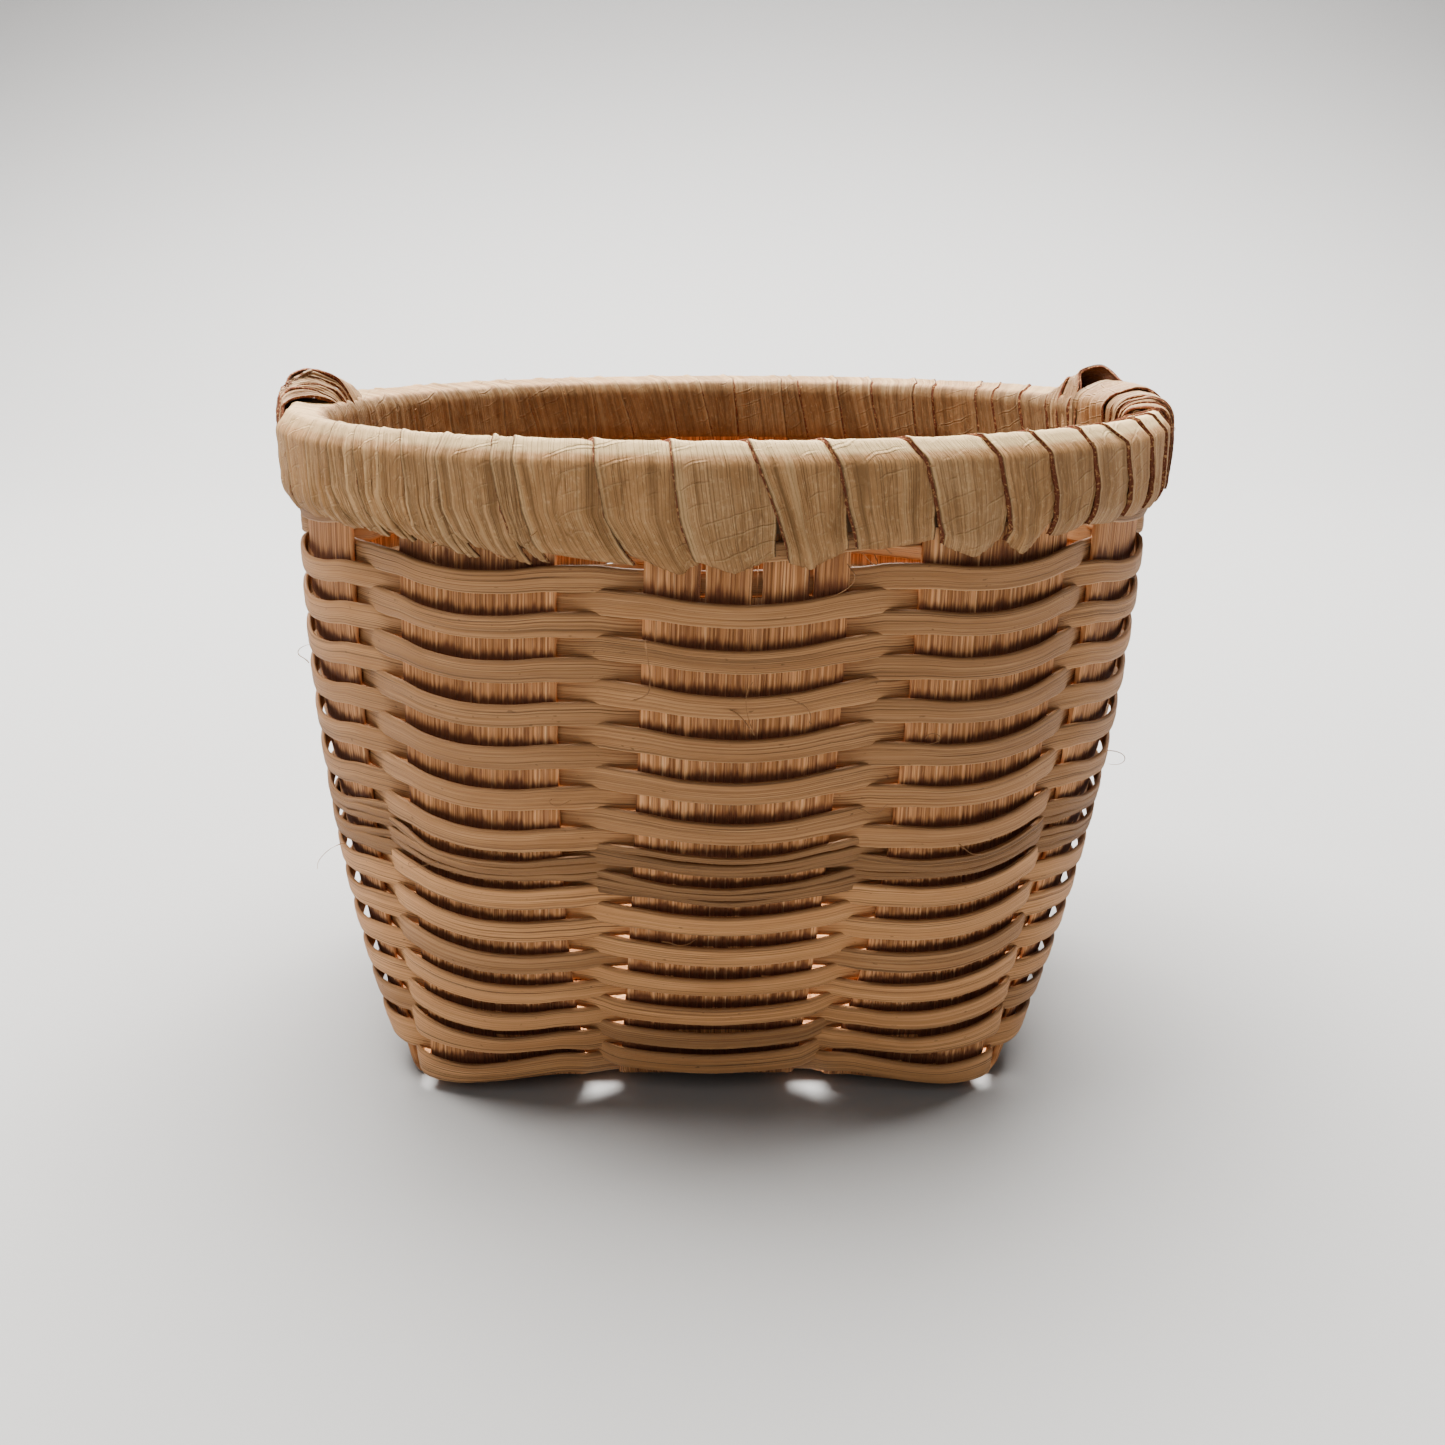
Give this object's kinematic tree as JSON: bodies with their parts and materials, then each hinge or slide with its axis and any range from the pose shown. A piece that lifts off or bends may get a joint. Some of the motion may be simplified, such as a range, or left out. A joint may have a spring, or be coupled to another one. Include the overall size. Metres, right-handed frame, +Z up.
{
  "type": "miniature split reed basket",
  "caption": "Small open basket of flat reed splints woven with split reed strands, from a square base to a round rim wrapped in leaf, with a small leaf loop on each side.",
  "frame": {"origin": "on the floor, under the middle of the round rim", "axes": "+Z up out of the basket's mouth; the front, with the slit stake, faces -Y, and the leaf loops stand at +X and -X"},
  "size_m": [0.08, 0.08, 0.0593],
  "materials": {
    "reed_splint": "rough split rattan, golden brown with dark stains along the fibres",
    "reed_weaver": "smooth split rattan, light tan with a fine lengthwise grain",
    "dark_weaver": "split rattan with dark, partly separated fibres",
    "hoop_reed": "plain flat rattan, hidden under the wrap",
    "rim_leaf": "dry palm-like leaf strip, pale tan, veined and lightly creased",
    "ear_leaf": "the same dry leaf, twisted and darker in its folds"
  },
  "bodies": {
    "root": {"splint_front_back_left": "reed_splint", "splint_front_back_middle": "reed_splint", "splint_front_back_right": "reed_splint", "splint_left_right_front": "reed_splint", "splint_left_right_middle": "reed_splint", "splint_left_right_back": "reed_splint", "weaver_01": "reed_weaver", "weaver_02": "reed_weaver", "weaver_03": "reed_weaver", "weaver_04": "reed_weaver", "weaver_05": "reed_weaver", "weaver_06": "reed_weaver", "weaver_07": "reed_weaver", "weaver_08": "reed_weaver", "weaver_09": "reed_weaver", "weaver_10": "reed_weaver", "weaver_11": "reed_weaver", "weaver_12": "reed_weaver", "weaver_13": "reed_weaver", "weaver_14": "dark_weaver", "weaver_15": "dark_weaver", "weaver_16": "dark_weaver", "weaver_17": "reed_weaver", "weaver_18": "reed_weaver", "weaver_19": "reed_weaver", "weaver_20": "reed_weaver", "weaver_21": "reed_weaver", "weaver_22": "reed_weaver", "weaver_23": "reed_weaver", "weaver_24": "reed_weaver", "weaver_25": "reed_weaver", "weaver_26": "reed_weaver", "weaver_27": "reed_weaver", "weaver_28": "reed_weaver", "weaver_29": "reed_weaver", "weaver_30": "reed_weaver", "rim_hoop_outer": "hoop_reed", "rim_hoop_inner": "hoop_reed", "rim_wrap_1": "rim_leaf", "rim_wrap_2": "rim_leaf", "rim_wrap_3": "rim_leaf", "rim_wrap_4": "rim_leaf", "rim_wrap_5": "rim_leaf", "rim_wrap_6": "rim_leaf", "rim_wrap_7": "rim_leaf", "rim_wrap_8": "rim_leaf", "ear_right": "ear_leaf", "ear_left": "ear_leaf"}
  },
  "joints": []
}
